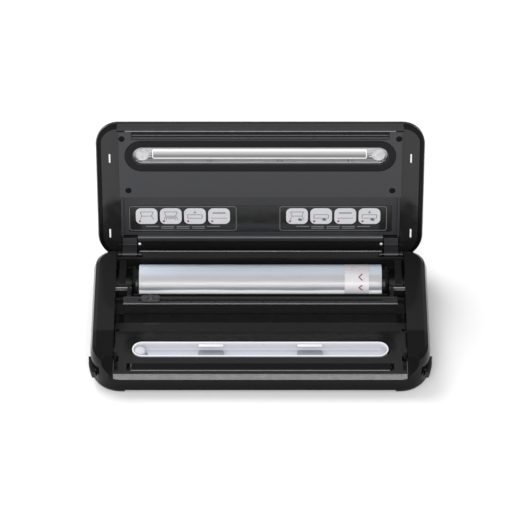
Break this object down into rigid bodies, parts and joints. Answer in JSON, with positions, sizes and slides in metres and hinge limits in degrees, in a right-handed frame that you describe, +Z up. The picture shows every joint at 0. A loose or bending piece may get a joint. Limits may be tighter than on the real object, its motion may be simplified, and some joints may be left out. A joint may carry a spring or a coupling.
{
  "type": "vacuum sealer",
  "caption": "Table-top vacuum sealer with hinged lid, bag-roll well, sliding film cutter, lift-out drip tray and sealing bar.",
  "frame": {"origin": "on the floor, under the middle of the open machine's box", "axes": "+X to the user's right, along the sealing bar; +Y from the front to the rear hinge; +Z up"},
  "size_m": [0.4184, 0.2614, 0.2232],
  "materials": {
    "housing_black": "high gloss",
    "deck_black": "high gloss",
    "rim_black": "gloss",
    "moulded_black": "fine moulded grain",
    "bar_gloss": "satin gloss",
    "release_black": "gloss with grip ridges",
    "foot_rubber": "matte",
    "steel": "plain",
    "dark_screw": "blackened",
    "chrome": "polished",
    "spring_steel": "satin",
    "hook_steel": "satin",
    "bar_black": "matte, heat resistant",
    "heater": "resistance strip",
    "seal_tape": "coated glass cloth",
    "tray_white": "satin",
    "bumper_white": "soft",
    "film": "wound clear film",
    "core_card": "rolled board",
    "clear_plastic": "clear",
    "gasket_foam": "closed-cell foam",
    "silicone": "ribbed silicone",
    "label": "printed film",
    "liner_charcoal": "satin",
    "board": "circuit board",
    "laminations": "laminated",
    "aluminium": "extruded",
    "motor_can": "plated",
    "pump_plastic": "plain",
    "hose": "silicone",
    "component_black": "plain",
    "panel_black": "printed gloss",
    "button_grey": "satin",
    "slider_smoke": "smoked",
    "guide_grey": "satin"
  },
  "bodies": {
    "base": {"base_housing": "housing_black", "bottom_cover": "moulded_black", "rubber_feet": "foot_rubber", "bottom_screws": "steel", "deck_panel": "deck_black", "sealing_bar": "bar_black", "heating_element": "heater", "seal_tape": "seal_tape", "roll_trough": "moulded_black", "left_roll_bracket": "moulded_black", "right_roll_bracket": "moulded_black", "leaf_springs": "spring_steel", "cutter_pivot_pins": "chrome", "hinge_brackets": "moulded_black", "hinge_pins": "steel", "power_board": "board", "transformer": "laminations", "heat_sink": "aluminium", "power_inlet": "component_black", "lid_switches": "component_black", "release_springs": "spring_steel", "latch_pins": "steel"},
    "lid": {"lid_outer_shell": "housing_black", "lid_rim_frame": "rim_black", "lid_liner": "liner_charcoal", "lid_window": "clear_plastic", "upper_gasket": "gasket_foam", "pressure_strip": "silicone", "label_plate": "label", "liner_screws": "dark_screw", "rear_rail_screws": "chrome", "lid_bumpers": "bumper_white", "lid_hinge_arms": "liner_charcoal", "control_panel": "panel_black", "control_board": "board", "tact_switches": "component_black", "pump_motor": "motor_can", "pump_head": "pump_plastic", "pump_bracket": "motor_can", "suction_hose": "hose", "pressure_switch": "component_black", "vent_valve": "component_black"},
    "film_roll": {"bag_film_roll": "film", "roll_core": "core_card"},
    "cutter_frame": {"cutter_bar": "bar_gloss", "cutter_arms": "moulded_black", "cutter_guide_strip": "guide_grey"},
    "cutter": {"cutter_slider": "slider_smoke", "cutter_blade": "steel"},
    "tray": {"drip_tray": "tray_white"},
    "release_left": {"left_release_button": "release_black"},
    "release_right": {"right_release_button": "release_black"},
    "latch_left": {"left_latch_hook": "hook_steel"},
    "latch_right": {"right_latch_hook": "hook_steel"},
    "motor_rotor": {"motor_shaft": "steel"},
    "key_vacuum_seal": {"vacuum_seal_button": "button_grey"},
    "key_seal": {"seal_button": "button_grey"},
    "key_pulse": {"pulse_button": "button_grey"},
    "key_mode": {"mode_button": "button_grey"},
    "key_stop": {"stop_button": "button_grey"}
  },
  "joints": [
    {"name": "lid_hinge", "type": "hinge", "parent": "base", "child": "lid", "pos_m": [0, 0.0644, 0.042], "axis": [1, 0, 0], "range_deg": [0, 104]},
    {"name": "roll_spin", "type": "hinge", "parent": "base", "child": "film_roll", "pos_m": [0, 0.0244, 0.031], "axis": [1, 0, 0], "continuous": true},
    {"name": "cutter_lift", "type": "hinge", "parent": "base", "child": "cutter_frame", "pos_m": [0, 0.0054, 0.041], "axis": [1, 0, 0], "range_deg": [-70, 0]},
    {"name": "cutter_slide", "type": "slide", "parent": "cutter_frame", "child": "cutter", "axis": [1, 0, 0], "range_m": [0, 0.27]},
    {"name": "tray_lift", "type": "slide", "parent": "base", "child": "tray", "axis": [0, 0, -1], "range_m": [-0.03, 0]},
    {"name": "release_left_press", "type": "slide", "parent": "base", "child": "release_left", "axis": [1, 0, 0], "range_m": [0, 0.0025], "stiffness_N_per_m": 600, "springref_m": -0.002},
    {"name": "release_right_press", "type": "slide", "parent": "base", "child": "release_right", "axis": [-1, 0, 0], "range_m": [0, 0.0025], "stiffness_N_per_m": 600, "springref_m": -0.002},
    {"name": "latch_left_tilt", "type": "hinge", "parent": "base", "child": "latch_left", "pos_m": [0, -0.1001, 0.021], "axis": [-1, 0, 0], "range_deg": [0, 6.1]},
    {"name": "latch_right_tilt", "type": "hinge", "parent": "base", "child": "latch_right", "pos_m": [0, -0.1001, 0.021], "axis": [-1, 0, 0], "range_deg": [0, 6.1]},
    {"name": "motor_spin", "type": "hinge", "parent": "lid", "child": "motor_rotor", "pos_m": [0, 0.09344, 0.15019], "axis": [1, 0, 0], "continuous": true},
    {"name": "vacuum_seal_press", "type": "slide", "parent": "lid", "child": "key_vacuum_seal", "axis": [0, -0.9703, 0.2419], "range_m": [0, 0.0008], "stiffness_N_per_m": 400, "springref_m": -0.0006},
    {"name": "seal_press", "type": "slide", "parent": "lid", "child": "key_seal", "axis": [0, -0.9703, 0.2419], "range_m": [0, 0.0008], "stiffness_N_per_m": 400, "springref_m": -0.0006},
    {"name": "pulse_press", "type": "slide", "parent": "lid", "child": "key_pulse", "axis": [0, -0.9703, 0.2419], "range_m": [0, 0.0008], "stiffness_N_per_m": 400, "springref_m": -0.0006},
    {"name": "mode_press", "type": "slide", "parent": "lid", "child": "key_mode", "axis": [0, -0.9703, 0.2419], "range_m": [0, 0.0008], "stiffness_N_per_m": 400, "springref_m": -0.0006},
    {"name": "stop_press", "type": "slide", "parent": "lid", "child": "key_stop", "axis": [0, -0.9703, 0.2419], "range_m": [0, 0.0008], "stiffness_N_per_m": 400, "springref_m": -0.0006}
  ],
  "couplings": [
    {"joint": "latch_left_tilt", "follows": "release_left_press", "rad_per_m": 41.888},
    {"joint": "latch_right_tilt", "follows": "release_right_press", "rad_per_m": 41.888}
  ]
}
